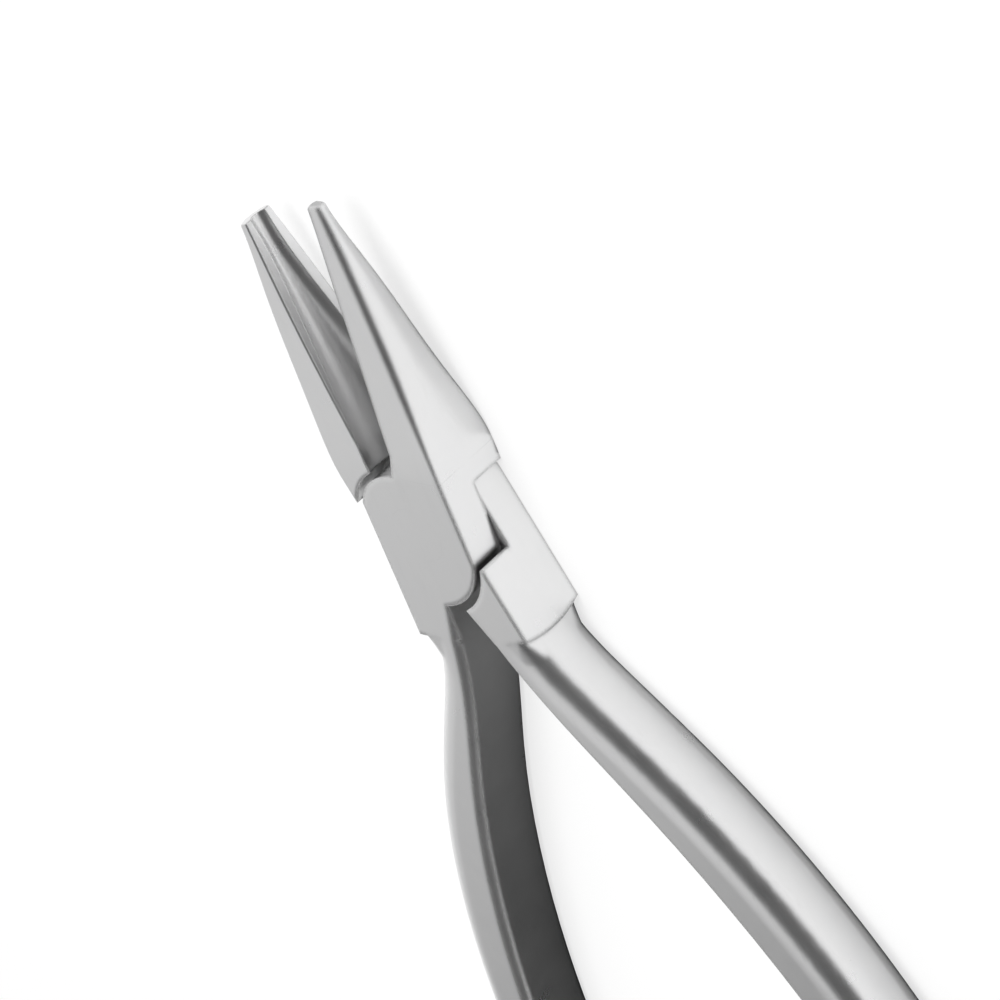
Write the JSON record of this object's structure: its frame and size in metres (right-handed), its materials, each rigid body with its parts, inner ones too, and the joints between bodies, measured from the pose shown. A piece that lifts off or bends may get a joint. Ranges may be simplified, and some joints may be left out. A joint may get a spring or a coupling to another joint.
{
  "type": "orthodontic pliers",
  "caption": "Slim orthodontic contouring pliers: a convex jaw closing into a hollow jaw, a lap joint with a flush rivet, and long curved satin steel handles.",
  "frame": {"origin": "on the pivot axis, at the flat back face of the joint that the pliers lie on", "axes": "+Z along the pivot axis, out of the front face; +Y towards the jaw tips, half way between the open jaws; +X towards the convex jaw"},
  "size_m": [0.063, 0.1266, 0.0077],
  "materials": {
    "satin_steel": "satin, finely ground",
    "rivet_steel": "satin, ground flush with the joint"
  },
  "bodies": {
    "hollow_arm": {"hollow_jaw_arm": "satin_steel"},
    "convex_arm_and_rivet": {"convex_jaw_arm": "satin_steel", "pivot_rivet": "rivet_steel"}
  },
  "joints": [
    {"name": "pivot", "type": "hinge", "parent": "hollow_arm", "child": "convex_arm_and_rivet", "pos_m": [0, 0, 0.00385], "axis": [0, 0, 1], "range_deg": [-14, 14.6]}
  ]
}
